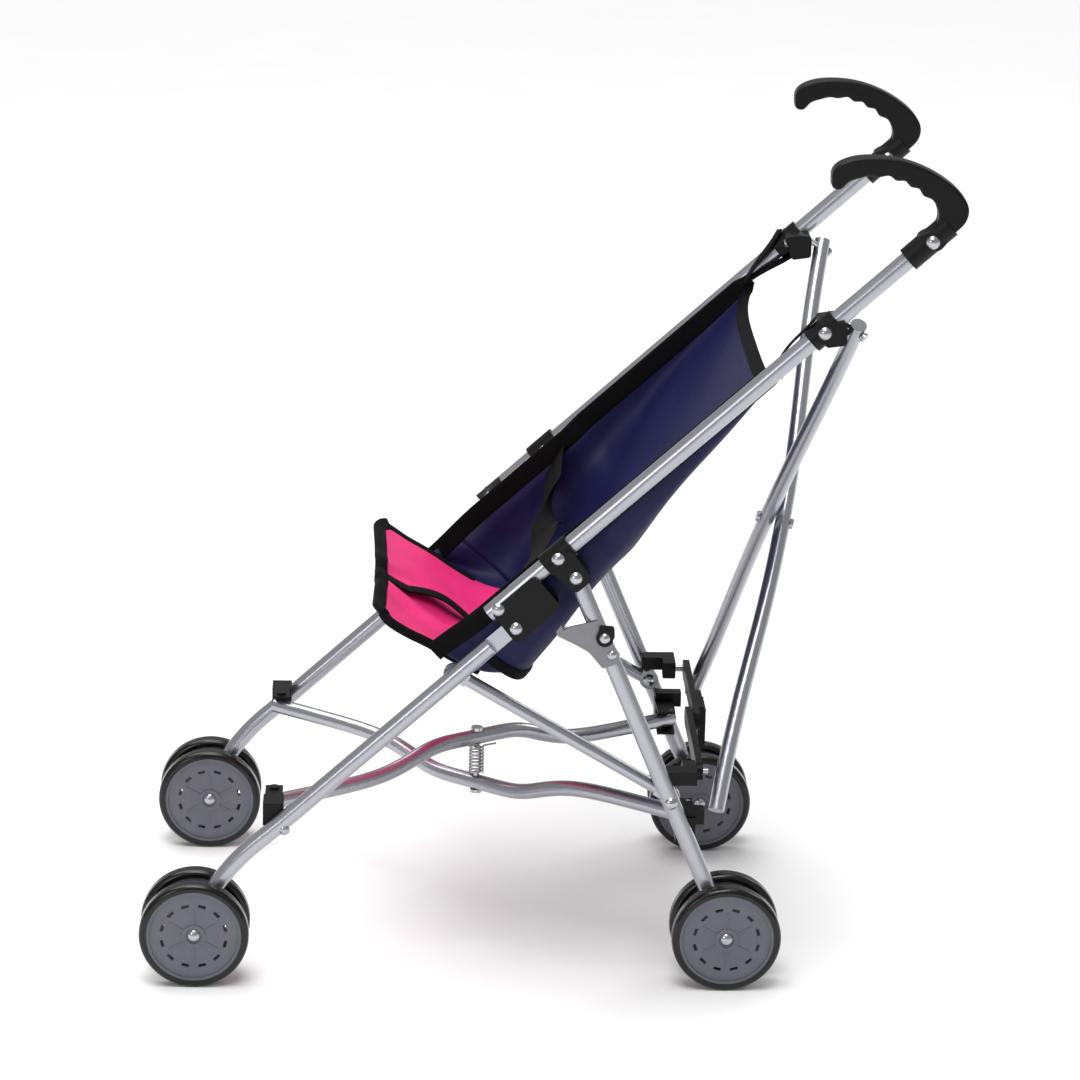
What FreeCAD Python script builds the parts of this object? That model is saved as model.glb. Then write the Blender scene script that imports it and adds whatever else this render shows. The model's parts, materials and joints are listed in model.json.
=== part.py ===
import FreeCAD, Part
import math
import os

# Doll stroller with an umbrella frame. Millimetres. Front is -X, left is -Y, up is +Z.
# The origin is on the floor, under the middle of the whole stroller.

# --- driving dimensions ---
TUBE_R = 6.0             # handle tubes, front legs, rear legs
CROSS_R = 5.5            # crossed tubes
STRUT_R = 4.5            # side struts
HALF_TRACK = 128.5       # middle plane to the tube plane of one side
HANDLE_ANGLE = 42.5      # handle tube above level, degrees
HANDLE_FOOT = (-30.9, 270.5)   # lower rivet of the handle tube, X and Z
HANDLE_LENGTH = 385.0    # from the lower rivet to the upper end inside the grip
LINK_DROP = 18.0         # leg pivots below the handle tube line
REAR_PIVOT_RUN = 53.2    # rear leg pivot up the handle from the front leg pivot
FRONT_AXLE = (-234.2, 37.5)
REAR_AXLE = (129.5, 37.5)
WHEEL_R = 37.5
HUB_R = 32.4
WHEEL_W = 12.5           # width of one wheel
WHEEL_GAP = 7.0          # leg plane to the inner face of a wheel
AXLE_R = 2.4
STRUT_FRONT = 55.6       # strut end down the front leg
STRUT_REAR = 175.2       # strut end down the rear leg
LOWER_FRONT = (-181.0, 116.5)   # lower cross, front pin
LOWER_REAR = (100.6, 109.5)     # lower cross, rear pin
LOWER_HALF = 96.0               # lower cross pins from the middle plane
LOWER_RISE = 17.0               # how far the two lower tubes bow apart
REAR_TOP = (202.5, 461.0)       # rear cross, top pin
REAR_BOTTOM = (122.5, 127.0)    # rear cross, bottom end
REAR_HALF = 117.0
REAR_BOW_FRONT = 3.0            # the left tube bows forward and the right one back, so they pass
REAR_BOW_BACK = 8.4
REAR_HINGE = (-0.710, 0.485, 0.510)    # way of the top pin on the left side
LOWER_HINGE = (0.366, 0.509, 0.779)   # way of the lower rear pin on the left side
LOCK_PIN = (106.0, 145.5)       # lock bar pin from the middle plane and above the floor
BRACKET_RUN = 286.0             # top bracket rivet up the handle
GRIP_RUN = 378.0                # grip rivet up the handle
RIVET_R = 4.5
RIVET_H = 2.6
PIN_R = 2.2

os.makedirs("parts", exist_ok=True)
Vec = FreeCAD.Vector
ALONG = Vec(math.cos(math.radians(HANDLE_ANGLE)), 0, math.sin(math.radians(HANDLE_ANGLE)))
ACROSS = Vec(-ALONG.z, 0, ALONG.x)


def handle_point(run, lift, y=0.0):
    """A point given along and square to the line of the front leg, from its pivot."""
    foot = Vec(HANDLE_FOOT[0], y, HANDLE_FOOT[1]) - ACROSS * LINK_DROP
    return foot + ALONG * run + ACROSS * lift


def flat(point, y):
    return Vec(point[0], y, point[1])


def rod(start, end, radius):
    axis = end - start
    return Part.makeCylinder(radius, axis.Length, start, axis)


def disc(point, radius, y0, y1):
    return Part.makeCylinder(radius, abs(y1 - y0), Vec(point.x, min(y0, y1), point.z), Vec(0, 1, 0))


def box(x0, x1, y0, y1, z0, z1):
    return Part.makeBox(x1 - x0, y1 - y0, z1 - z0, Vec(x0, y0, z0))


def slab(corners, y0, y1):
    """A flat plate with the given side outline, from y0 to y1."""
    points = [Vec(c.x, y0, c.z) for c in corners]
    face = Part.Face(Part.makePolygon(points + [points[0]]))
    return face.extrude(Vec(0, y1 - y0, 0))


def rounded(corners, y0, y1, radius):
    """A flat plate whose outline has rounded corners."""
    plate = slab(corners, y0, y1)
    across = [e for e in plate.Edges if abs(e.tangentAt(e.FirstParameter).y) > 0.99]
    return plate.makeFillet(radius, across)


def handle_slab(rect, y0, y1):
    """A plate given as run and lift limits beside the handle tube."""
    a, b, c, d = rect
    corners = [handle_point(a, c), handle_point(b, c), handle_point(b, d), handle_point(a, d)]
    return slab(corners, y0, y1)


def dome(point, y, side, radius=RIVET_R, height=RIVET_H):
    """A rivet head that stands out along Y from y; side is -1 or 1."""
    ball = (radius * radius + height * height) / (2 * height)
    sphere = Part.makeSphere(ball, Vec(point.x, y - side * (ball - height), point.z))
    keep = disc(point, radius, y, y + side * (height + 1.0))
    return sphere.common(keep)


def sweep_tube(poles, radius, side):
    """A round tube along a smooth flat curve that leans on the given poles; side is square to it."""
    curve = Part.BSplineCurve()
    curve.buildFromPoles(poles, False, 3)
    start = poles[0]
    way = (poles[1] - poles[0]).normalize()
    pipe = Part.BRepOffsetAPI.MakePipeShell(Part.Wire(curve.toShape()))
    pipe.setBiNormalMode(side)
    pipe.add(Part.Wire(Part.makeCircle(radius, start, way)))
    pipe.build()
    pipe.makeSolid()
    return Part.Solid(pipe.shape().Shells[0])


def pin_along(at, way, back, ahead, radius=PIN_R):
    """A pin through a point, from back millimetres behind it to ahead millimetres in front."""
    way = Vec(way).normalize()
    return Part.makeCylinder(radius, back + ahead, at - way * back, way)


def mirrored(shape):
    return shape.mirror(Vec(0, 0, 0), Vec(0, 1, 0))


def save(name, shape):
    shape.exportStep("parts/" + name + ".step")


def save_pair(name, shape):
    """The left piece is drawn; the right one is its mirror image."""
    save(name + "_left", shape)
    save(name + "_right", mirrored(shape))


Y = -HALF_TRACK
FRONT_PIVOT = handle_point(0, 0, Y)
REAR_PIVOT = handle_point(REAR_PIVOT_RUN, 0, Y)
FRONT_HUB = flat(FRONT_AXLE, Y)
REAR_HUB = flat(REAR_AXLE, Y)
REAR_DIR = (REAR_HUB - REAR_PIVOT).normalize()
S1 = handle_point(-STRUT_FRONT, 0, Y)
S2 = REAR_PIVOT + REAR_DIR * STRUT_REAR


def handle_tube():
    start = handle_point(-8, LINK_DROP, Y)
    end = handle_point(HANDLE_LENGTH, LINK_DROP, Y)
    tube = rod(start, end, TUBE_R)
    lap = handle_slab((-10, 14, 10, 26), Y - 0.1, Y + TUBE_R + 1)
    return tube.cut(lap).cut(handle_rivets())


def front_leg():
    """A straight tube that bends down near the foot and ends as a flat tab on the axle."""
    runs = (7, -30, -120, -200, -224)
    poles = [handle_point(run, 0, Y) for run in runs]
    poles += [FRONT_HUB + Vec(30, 0, 52), FRONT_HUB + Vec(12, 0, 28), FRONT_HUB + Vec(5, 0, 12)]
    tube = sweep_tube(poles, TUBE_R, Vec(0, 1, 0))
    tube = tube.cut(disc(FRONT_HUB, 20, Y - 10, Y - 2.5)).cut(disc(FRONT_HUB, 20, Y + 2.5, Y + 10))
    leg = tube.fuse(disc(FRONT_HUB, 6, Y - 2.5, Y + 2.5))
    tab = [FRONT_HUB + Vec(-6, 0, 0), FRONT_HUB + Vec(6, 0, 0), FRONT_HUB + Vec(11, 0, 14), FRONT_HUB + Vec(0, 0, 17)]
    leg = leg.fuse(slab(tab, Y - 2.5, Y + 2.5))
    lap = handle_slab((-22, 10, -8, 8), Y - TUBE_R - 1, Y + 0.1)
    leg = leg.cut(lap)
    leg = leg.cut(disc(FRONT_PIVOT, PIN_R + 0.05, Y - 8, Y + 8))
    leg = leg.cut(disc(FRONT_HUB, AXLE_R, Y - 8, Y + 8))
    leg = leg.fuse(disc(S1, PIN_R, Y + 3, Y + TUBE_R + 6))
    return leg.fuse(dome(flat(LOWER_FRONT, 0) + Vec(8, 0, -6), Y - TUBE_R + 0.6, -1, 3.6, 1.6))


def rear_leg():
    top = REAR_PIVOT - REAR_DIR * 7
    foot = REAR_HUB - REAR_DIR * 6
    tube = rod(top, foot, TUBE_R)
    tube = tube.cut(disc(REAR_HUB, 21, Y - 10, Y - 2.5)).cut(disc(REAR_HUB, 21, Y + 2.5, Y + 10))
    leg = tube.fuse(disc(REAR_HUB, 6, Y - 2.5, Y + 2.5))
    leg = leg.cut(disc(REAR_PIVOT, PIN_R + 0.05, Y - 8, Y + 8))
    leg = leg.cut(disc(REAR_HUB, AXLE_R, Y - 8, Y + 8))
    return leg.cut(leg_rivets())


def strut():
    y = Y + TUBE_R + 1.0 + STRUT_R
    reach = (S2 - S1).normalize()
    bar = rod(flat((S1.x, S1.z), y) + reach * 8, flat((S2.x, S2.z), y) - reach * 8, STRUT_R)
    bar = bar.fuse(disc(S1, 7, y - STRUT_R, y - 1)).fuse(disc(S2, 7, y - STRUT_R, y - 1))
    for end, way in ((S1, reach), (S2, reach * -1)):
        side = Vec(-way.z, 0, way.x) * 4.4
        web = slab([end + side, end - side, end - side + way * 11, end + side + way * 11], y - STRUT_R, y - 1)
        bar = bar.fuse(web)
    bar = bar.cut(disc(S1, 3.6, y - 6, y + 6))
    bar = bar.cut(disc(S2, PIN_R + 0.05, y - 6, y + 6))
    return bar


def wheel_tyre(hub, y, side):
    """A glossy tyre ring with rounded shoulders, on the hub rim."""
    y0 = min(y, y + side * WHEEL_W)
    ring = disc(hub, WHEEL_R, y0, y0 + WHEEL_W).cut(disc(hub, HUB_R, y0 - 1, y0 + WHEEL_W + 1))
    outer = [e for e in ring.Edges if abs(e.Length - 2 * math.pi * WHEEL_R) < 0.5]
    return ring.makeFillet(3.6, outer)


def wheel_hub(hub, y, side):
    """A dished cap with a raised rim, twelve slots, six ribs and a boss."""
    face = y + side * (WHEEL_W - 1.6)
    back = y + side * 1.0
    body = disc(hub, HUB_R, back, y + side * (WHEEL_W - 0.4))
    body = body.cut(disc(hub, HUB_R - 1.8, face, face + side * 4))
    body = body.cut(disc(hub, HUB_R - 2.4, y - side * 1, y + side * (WHEEL_W - 4.0)))
    for i in range(12):
        a = math.radians(30 * i + 15)
        slot = Part.makeBox(5.2, WHEEL_W + 4, 2.2, Vec(-2.6, -(WHEEL_W + 4) / 2, 21))
        slot.rotate(Vec(0, 0, 0), Vec(0, 1, 0), math.degrees(a))
        slot.translate(Vec(hub.x, y + side * WHEEL_W / 2, hub.z))
        body = body.cut(slot)
    for i in range(6):
        rib = Part.makeBox(1.2, 0.9, 12.5, Vec(-0.6, -0.45, 6.6))
        rib.rotate(Vec(0, 0, 0), Vec(0, 1, 0), 60 * i)
        rib.translate(Vec(hub.x, face, hub.z))
        body = body.fuse(rib)
    boss = disc(hub, 8, y + side * 0.4, y + side * (WHEEL_W - 0.8))
    body = body.fuse(boss)
    body = body.cut(disc(hub, 5.6, y + side * (WHEEL_W - 1.6), y + side * (WHEEL_W + 2)))
    body = body.cut(disc(hub, AXLE_R + 0.06, y - side * 2, y + side * (WHEEL_W + 2)))
    return body


def axle(hub):
    reach = WHEEL_GAP + WHEEL_W - 1.4
    pin = disc(hub, AXLE_R, Y - reach, Y + reach)
    return pin.fuse(dome(hub, Y - reach, -1, 4.3, 2.0)).fuse(dome(hub, Y + reach, 1, 4.3, 2.0))


def save_wheels():
    places = (("front", FRONT_HUB), ("rear", REAR_HUB))
    for end, hub in places:
        save_pair("axle_" + end, axle(hub))
        for where, side in (("outer", -1), ("inner", 1)):
            y = Y + side * WHEEL_GAP
            save_pair("tyre_" + end + "_" + where, wheel_tyre(hub, y, side))
            save_pair("hub_" + end + "_" + where, wheel_hub(hub, y, side))


def front_plate():
    """A folded channel, open above, over the ends of the handle tube and the front leg."""
    corners = [handle_point(-7, -8.5), handle_point(33, -8.5), handle_point(34, 20), handle_point(-5, 20)]
    shell = rounded(corners, Y - 8.4, Y + 8.4, 4)
    shell = shell.cut(handle_slab((-12, 40, -6.4, 40), Y - 6.6, Y + 6.6))
    shell = shell.cut(handle_slab((-12, 11, -12, 0), Y - 6.6, Y + 6.6))
    return shell.cut(handle_rivets())


def hinge_bracket():
    """A moulded collar on the handle tube with two rounded cheeks for the rear leg."""
    corners = [handle_point(43.5, LINK_DROP), handle_point(64, LINK_DROP), handle_point(61, -8), handle_point(46, -8)]
    cheeks = rounded(corners, Y - 8.8, Y + 8.8, 3.5)
    collar = rod(handle_point(42.5, LINK_DROP, Y), handle_point(65, LINK_DROP, Y), 8.2)
    body = cheeks.fuse(collar)
    body = body.cut(rod(handle_point(30, LINK_DROP, Y), handle_point(80, LINK_DROP, Y), TUBE_R))
    body = body.cut(handle_slab((40, 70, -12, 10.0), Y - 6.4, Y + 6.4))
    return body.cut(handle_rivets())


def rear_normal():
    rise = Vec(REAR_TOP[0] - REAR_BOTTOM[0], 0, REAR_TOP[1] - REAR_BOTTOM[1]).normalize()
    return Vec(rise.z, 0, -rise.x)


def top_bracket():
    """A moulded collar on the handle tube with an arm that reaches back to the rear cross tube."""
    collar = rod(handle_point(275, LINK_DROP, Y), handle_point(297, LINK_DROP, Y), 8.2)
    x, z = REAR_TOP
    corners = [Vec(175, 0, 470), Vec(187, 0, 472), Vec(x - 8, 0, z + 10), Vec(x - 8, 0, z - 5), Vec(181, 0, 454)]
    arm = rounded(corners, Y - 8.6, Y + 21, 2.5)
    body = collar.fuse(arm)
    body = body.cut(rod(handle_point(250, LINK_DROP, Y), handle_point(320, LINK_DROP, Y), TUBE_R))
    body = body.cut(rod(flat(REAR_TOP, -REAR_HALF), flat(REAR_BOTTOM, REAR_HALF), CROSS_R + 1.5))
    return body.cut(handle_rivets())


def handle_rivets():
    """Through rivets of the handle tube with round heads, and the pin of the rear cross tube."""
    places = (
        (0, 0, 8.4), (0, LINK_DROP, 8.4),
        (REAR_PIVOT_RUN, 0, 8.8), (REAR_PIVOT_RUN, LINK_DROP, 8.8),
        (BRACKET_RUN, LINK_DROP, 8.6), (GRIP_RUN, LINK_DROP, 8.0))
    solids = []
    for run, lift, reach in places:
        at = handle_point(run, lift)
        pin = disc(at, PIN_R, Y - reach, Y + reach)
        solids.append(pin.fuse(dome(at, Y - reach, -1)).fuse(dome(at, Y + reach, 1)))
    hinge = pin_along(flat(REAR_TOP, -REAR_HALF), REAR_HINGE, 7, 14.5)
    solids.append(hinge.fuse(pin_along(flat(REAR_TOP, -REAR_HALF), REAR_HINGE, 8.2, -6.2, 3.4)))
    return Part.makeCompound(solids)


def profile_bar(points, y0, y1, radius):
    """A bar cut from a plate along a smooth closed outline, with rounded edges."""
    curve = Part.BSplineCurve()
    curve.interpolate([Vec(x, y0, z) for x, z in points], PeriodicFlag=True)
    face = Part.Face(Part.Wire(curve.toShape()))
    bar = face.extrude(Vec(0, y1 - y0, 0))
    rims = [e for e in bar.Edges if abs(e.tangentAt(e.FirstParameter).y) < 0.5]
    return bar.makeFillet(radius, rims)


def grip():
    """A flat hooked handle with finger waves and a thicker outer rim; its socket takes the handle tube."""
    outer = [
        (180.0, 567.0), (181.5, 573.2), (189.8, 578.8), (205.0, 581.3), (222.0, 580.1), (239.3, 575.0),
        (255.1, 566.5), (265.8, 557.0), (270.6, 547.0), (268.3, 538.0), (260.4, 529.5), (250.5, 519.2)]
    inner = [
        (238.6, 528.4), (247.5, 535.0), (250.9, 541.5), (249.6, 548.6), (245.0, 554.4), (240.0, 556.6),
        (237.4, 560.6), (231.6, 562.2), (228.2, 565.6), (221.8, 566.2), (218.2, 568.8), (211.0, 568.2),
        (205.5, 568.8), (198.0, 567.2), (190.5, 564.0), (185.6, 559.6), (181.0, 560.9)]
    body = profile_bar(outer + inner, Y - 6.5, Y + 6.5, 2.0)
    socket = rod(handle_point(358, LINK_DROP, Y), handle_point(393, LINK_DROP, Y), 8.4)
    body = body.fuse(socket)
    body = body.cut(rod(handle_point(350, LINK_DROP, Y), handle_point(HANDLE_LENGTH, LINK_DROP, Y), TUBE_R))
    return body.cut(handle_rivets())


def lower_front_block():
    """A small bracket on the front leg with a cap over the end of a lower cross tube."""
    pin = flat(LOWER_FRONT, -LOWER_HALF)
    hold = box(pin.x - 7, pin.x + 7, Y + TUBE_R - 3, -LOWER_HALF - 11, pin.z - 6, pin.z + 10)
    cap = box(pin.x - 6, pin.x + 6, -LOWER_HALF - 12, -LOWER_HALF + 6, pin.z + 8.4, pin.z + 10)
    head = Part.makeCylinder(3.4, 1.6, Vec(pin.x, pin.y, pin.z + 10), Vec(0, 0, 1))
    body = hold.fuse(cap).fuse(head)
    return body.cut(front_leg())


def rear_block():
    """A moulded bracket on the rear leg for the lower cross, the lock bar and the rear cross."""
    pin = flat(LOWER_REAR, -LOWER_HALF)
    hold = box(pin.x - 7, pin.x + 6.5, Y + TUBE_R - 3, -LOWER_HALF - 10, pin.z - 8.8, pin.z + 8.8)
    body = hold
    for low in (7.2, -8.8):
        ear = box(pin.x - 6.5, pin.x + 6.5, -LOWER_HALF - 11, -LOWER_HALF + 9, pin.z + low, pin.z + low + 1.6)
        body = body.fuse(ear)
    half, height = LOCK_PIN
    body = body.fuse(box(83, 107.2, Y + TUBE_R - 3, Y + 16, height - 3.5, height + 6))
    body = body.fuse(box(98, 107.2, Y + 15, -half + 5.5, height - 6, height + 6))
    body = body.fuse(box(94, 113, Y + TUBE_R - 1, Y + 15, 113, 123.5))
    body = body.cut(rod(REAR_PIVOT, REAR_HUB, TUBE_R))
    return body.cut(leg_rivets())


def leg_rivets():
    """The strut rivet, the pin of the lower cross tube and the pin of the lock bar."""
    strut_pin = disc(S2, PIN_R, Y - TUBE_R, Y + TUBE_R + 1 + 3.6)
    strut_pin = strut_pin.fuse(dome(S2, Y - TUBE_R + 0.3, -1)).fuse(dome(S2, Y + TUBE_R + 4.6, 1))
    cross_pin = pin_along(flat(LOWER_REAR, -LOWER_HALF), LOWER_HINGE, 11, 11)
    half, height = LOCK_PIN
    lock_pin = pin_along(Vec(107.2, -half, height), Vec(1, 0, 0), 8, 8.8)
    return Part.makeCompound([strut_pin, cross_pin, lock_pin])


def hook_rivets():
    """The two rivets that fix the storage hook to the left rear leg."""
    upper = disc(Vec(40.8, 0, 251.5), 1.8, Y - TUBE_R + 2, Y - TUBE_R - 4.2)
    lower = disc(Vec(46.0, 0, 239.0), 1.8, Y - TUBE_R + 2, Y - TUBE_R - 1.8)
    upper = upper.fuse(dome(Vec(40.8, 0, 251.5), Y - TUBE_R - 4.2, -1, 3.6, 1.9))
    lower = lower.fuse(dome(Vec(46.0, 0, 239.0), Y - TUBE_R - 1.8, -1, 3.4, 1.8))
    leg = rod(REAR_PIVOT, REAR_HUB, TUBE_R)
    return Part.makeCompound([upper.cut(leg), lower.cut(leg)])


def lower_tube(side, rise):
    """A lower cross tube whose middle bows; side 1 starts at the left rear leg, -1 at the right."""
    rear = flat(LOWER_REAR, -LOWER_HALF * side)
    front = flat(LOWER_FRONT, LOWER_HALF * side)
    bow = ((0, 0), (0.15, 0), (0.28, 0), (0.38, 1), (0.45, 1), (0.55, 1), (0.62, 1), (0.72, 0), (0.85, 0), (1, 0))
    poles = [rear * (1 - share) + front * share + Vec(0, 0, rise * lift) for share, lift in bow]
    poles[0] = rear - (front - rear).normalize() * 6
    poles[-1] = front + (front - rear).normalize() * 5
    tube = sweep_tube(poles, CROSS_R, (front - rear).cross(Vec(0, 0, 1)).normalize())
    way = Vec(LOWER_HINGE[0], LOWER_HINGE[1] * side, LOWER_HINGE[2])
    return tube.cut(pin_along(rear, way, 12, 12, PIN_R + 0.05))


def lower_middle():
    mid = flat(LOWER_REAR, 0) + flat(LOWER_FRONT, 0)
    return mid * 0.5


def lower_bolt_half(way):
    """Half of the upright middle bolt: the head above, or the nut below."""
    at = lower_middle()
    z = at.z + way * (LOWER_RISE + CROSS_R)
    head = Part.makeCylinder(4.2, 2.4, Vec(at.x, 0, z - way * 0.4), Vec(0, 0, way))
    stem = Part.makeCylinder(PIN_R, 2 * CROSS_R + 2, Vec(at.x, 0, z), Vec(0, 0, -way))
    return head.fuse(stem)


def torsion_spring():
    """The coil between the two lower tubes, as a helix of wire with one long leg."""
    at = lower_middle()
    ring_r = 4.8
    wire = 0.75
    low = at.z - LOWER_RISE + CROSS_R + 1.4
    high = at.z + LOWER_RISE - CROSS_R - 1.2
    count = 8
    helix = Part.makeHelix((high - low) / count, high - low, ring_r)
    profile = Part.Wire(Part.makeCircle(wire, Vec(ring_r, 0, 0), Vec(0, 1, 0)))
    coil = Part.Wire(helix).makePipeShell([profile], True, True)
    coil.translate(Vec(at.x, 0, low))
    leg = rod(Vec(at.x + ring_r, 0, high), Vec(at.x + ring_r + 9, 5, high), wire)
    return coil.fuse(leg)


def rear_tube(side, bow):
    """A rear cross tube from the top on one side to the bottom on the other, with its half of the bolt."""
    top = flat(REAR_TOP, -REAR_HALF * side)
    low = flat(REAR_BOTTOM, REAR_HALF * side)
    reach = (low - top).normalize()
    out = rear_normal()
    poles = [top - reach * 6.0]
    for share, lift in ((0.15, 0), (0.34, 1.1), (0.66, 1.1), (0.85, 0)):
        poles.append(top * (1 - share) + low * share + out * (bow * lift))
    poles.append(low + reach * 6.0)
    tube = sweep_tube(poles, CROSS_R, reach.cross(out).normalize())
    tube = tube.fuse(rear_bolt_half(out * (bow / abs(bow)), abs(bow)))
    way = Vec(REAR_HINGE[0], REAR_HINGE[1] * side, REAR_HINGE[2])
    return tube.cut(pin_along(top, way, 12, 12, PIN_R + 0.05))


def rear_bolt_half(out, bow):
    """Half of the middle bolt of the rear cross, a head on the outer face of one tube."""
    at = (flat(REAR_TOP, 0) + flat(REAR_BOTTOM, 0)) * 0.5
    face = at + out * (bow + CROSS_R - 0.6)
    return Part.makeCylinder(3.8, 2.6, face, out)


def lock_arm(side):
    """One half of the folding lock bar, with a stiffening rib. The right half lies behind the left half."""
    x0 = 107.6 if side < 0 else 113.0
    half, height = LOCK_PIN
    root = side * half
    tip = side * -5.0
    low, high = min(root, tip), max(root, tip)
    bar = box(x0, x0 + 4.5, low, high, height - 6.5, height + 6.5)
    bar = bar.fuse(Part.makeCylinder(6.5, 4.5, Vec(x0, root, height), Vec(1, 0, 0)))
    bar = bar.fuse(Part.makeCylinder(6.5, 4.5, Vec(x0, tip, height), Vec(1, 0, 0)))
    return bar.cut(Part.makeCylinder(PIN_R + 0.05, 8, Vec(x0 - 1, root, height), Vec(1, 0, 0)))


def lock_pedal():
    """A ribbed foot pad on the right half of the lock bar."""
    pad = box(117.4, 121.5, 8, 44, 118, 151)
    for i in range(4):
        pad = pad.fuse(box(121.5, 123.0, 11 + 8 * i, 14.5 + 8 * i, 121, 148))
    return pad


def hook_plate():
    """The sheet metal storage hook on the left rear leg."""
    outline = [
        (8.0, 255.4), (9.5, 252.0), (29.0, 242.5), (40.0, 229.5), (49.5, 233.0),
        (51.3, 239.6), (35.9, 263.5), (16.5, 258.6), (12.5, 256.0), (11.2, 259.7)]
    points = [Vec(x, 0, z) for x, z in outline]
    plate = slab(points, Y - TUBE_R - 1.8, Y - TUBE_R)
    return plate.cut(hook_rivets())


def hook_washer():
    """The moulded washer with a finger tab under the upper hook rivet."""
    tab = rounded([Vec(36, 0, 251), Vec(37, 0, 260.5), Vec(47, 0, 260), Vec(47.5, 0, 251)], Y - TUBE_R - 4.2, Y - TUBE_R - 1.8, 2.0)
    washer = disc(Vec(40.8, 0, 251.5), 5.8, Y - TUBE_R - 4.2, Y - TUBE_R - 1.8)
    return washer.fuse(tab).cut(hook_rivets())


def hull(top, low):
    """A closed solid between two rings of four corners."""
    faces = [Part.Face(Part.makePolygon(top + [top[0]])), Part.Face(Part.makePolygon(low + [low[0]]))]
    for i in range(4):
        a, b, c, d = top[i], top[(i + 1) % 4], low[(i + 1) % 4], low[i]
        faces.append(Part.Face(Part.makePolygon([a, b, c, a])))
        faces.append(Part.Face(Part.makePolygon([a, c, d, a])))
    solid = Part.Solid(Part.Shell(faces))
    if solid.Volume < 0:
        solid.reverse()
    return solid


def sling_ring(run0, run1, lift0, lift1, y0, y1):
    return [
        handle_point(run0, LINK_DROP + lift0, -y0), handle_point(run0, LINK_DROP + lift0, y0),
        handle_point(run1, LINK_DROP + lift1, y1), handle_point(run1, LINK_DROP + lift1, -y1)]


def seat_sling():
    """The hanging fabric seat: a thin trough between the two handle tubes."""
    outer = hull(sling_ring(-34, 252, -1, -1, 116.6, 116.6), sling_ring(-30, 238, -66, -12, 96, 112))
    inner = hull(sling_ring(-31, 260, 1, 1, 114.6, 114.6), sling_ring(-27, 246, -63, -9, 94, 110))
    return outer.cut(inner)


def seat_tongue():
    """The stiff front of the seat that rises forward from the seat bottom."""
    side = [
        (-111.0, 266.0), (-108.0, 267.5), (-101.0, 256.5), (-71.0, 238.5), (-56.0, 227.0),
        (-57.5, 224.0), (-73.0, 235.5), (-103.0, 253.5)]
    return slab([Vec(x, 0, z) for x, z in side], -104, 104)


def crotch_strap():
    side = [(-104.0, 264.0), (-100.0, 258.5), (-71.0, 241.0), (-69.0, 243.0), (-98.0, 261.5)]
    return slab([Vec(x, 0, z) for x, z in side], -11, 11)


def lap_belt():
    """A flat strap across the seat between the two handle tubes."""
    side = [handle_point(50, 14), handle_point(74, 14), handle_point(74, 12.6), handle_point(50, 12.6)]
    return slab(side, -112.0, 112.0)


save_pair("handle_tube", handle_tube())
save_pair("front_leg", front_leg())
save_pair("rear_leg", rear_leg())
save_pair("side_strut", strut())
save_wheels()
save_pair("front_plate", front_plate())
save_pair("hinge_bracket", hinge_bracket())
save_pair("top_bracket", top_bracket())
save_pair("handle_rivets", handle_rivets())
save_pair("grip", grip())
save_pair("lower_front_block", lower_front_block())
save_pair("rear_block", rear_block())
save("rear_leg_rivets_left", Part.makeCompound([leg_rivets(), hook_rivets()]))
save("rear_leg_rivets_right", mirrored(leg_rivets()))
save("lower_cross_left", lower_tube(1, -LOWER_RISE).cut(lower_bolt_half(-1)))
save("lower_cross_right", lower_tube(-1, LOWER_RISE).cut(lower_bolt_half(1)))
save("lower_bolt_nut", lower_bolt_half(-1))
save("lower_bolt_head", lower_bolt_half(1))
save("torsion_spring", torsion_spring())
save("rear_cross_left", rear_tube(1, -REAR_BOW_FRONT))
save("rear_cross_right", rear_tube(-1, REAR_BOW_BACK))
save("lock_arm_left", lock_arm(-1))
save("lock_arm_right", lock_arm(1).fuse(lock_pedal()))
save("storage_hook", hook_plate())
save("hook_washer", hook_washer())
save("seat_sling", seat_sling())
save("seat_tongue", seat_tongue())
save("crotch_strap", crotch_strap())
save("lap_belt", lap_belt())
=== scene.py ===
"""Looks for the doll stroller frame: finishes for the metal and plastic, and the sewn seat."""
import json
import math

import bpy
import numpy as np
from mathutils import Matrix


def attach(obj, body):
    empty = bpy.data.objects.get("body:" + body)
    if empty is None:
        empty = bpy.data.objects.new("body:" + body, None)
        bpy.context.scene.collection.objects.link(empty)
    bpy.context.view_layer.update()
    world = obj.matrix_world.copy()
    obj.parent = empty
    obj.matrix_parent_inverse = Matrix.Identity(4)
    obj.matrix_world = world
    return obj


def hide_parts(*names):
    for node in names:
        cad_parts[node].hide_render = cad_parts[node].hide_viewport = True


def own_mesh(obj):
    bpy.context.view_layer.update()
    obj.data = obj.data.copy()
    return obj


bl_info = {
    "name": "Doll Stroller Looks",
    "version": (1, 0, 0),
    "blender": (4, 5, 0),
    "location": "View3D > Sidebar > Stroller",
    "description": "Dresses the packed stroller frame with finishes and a sewn seat",
    "category": "Object",
}

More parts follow.
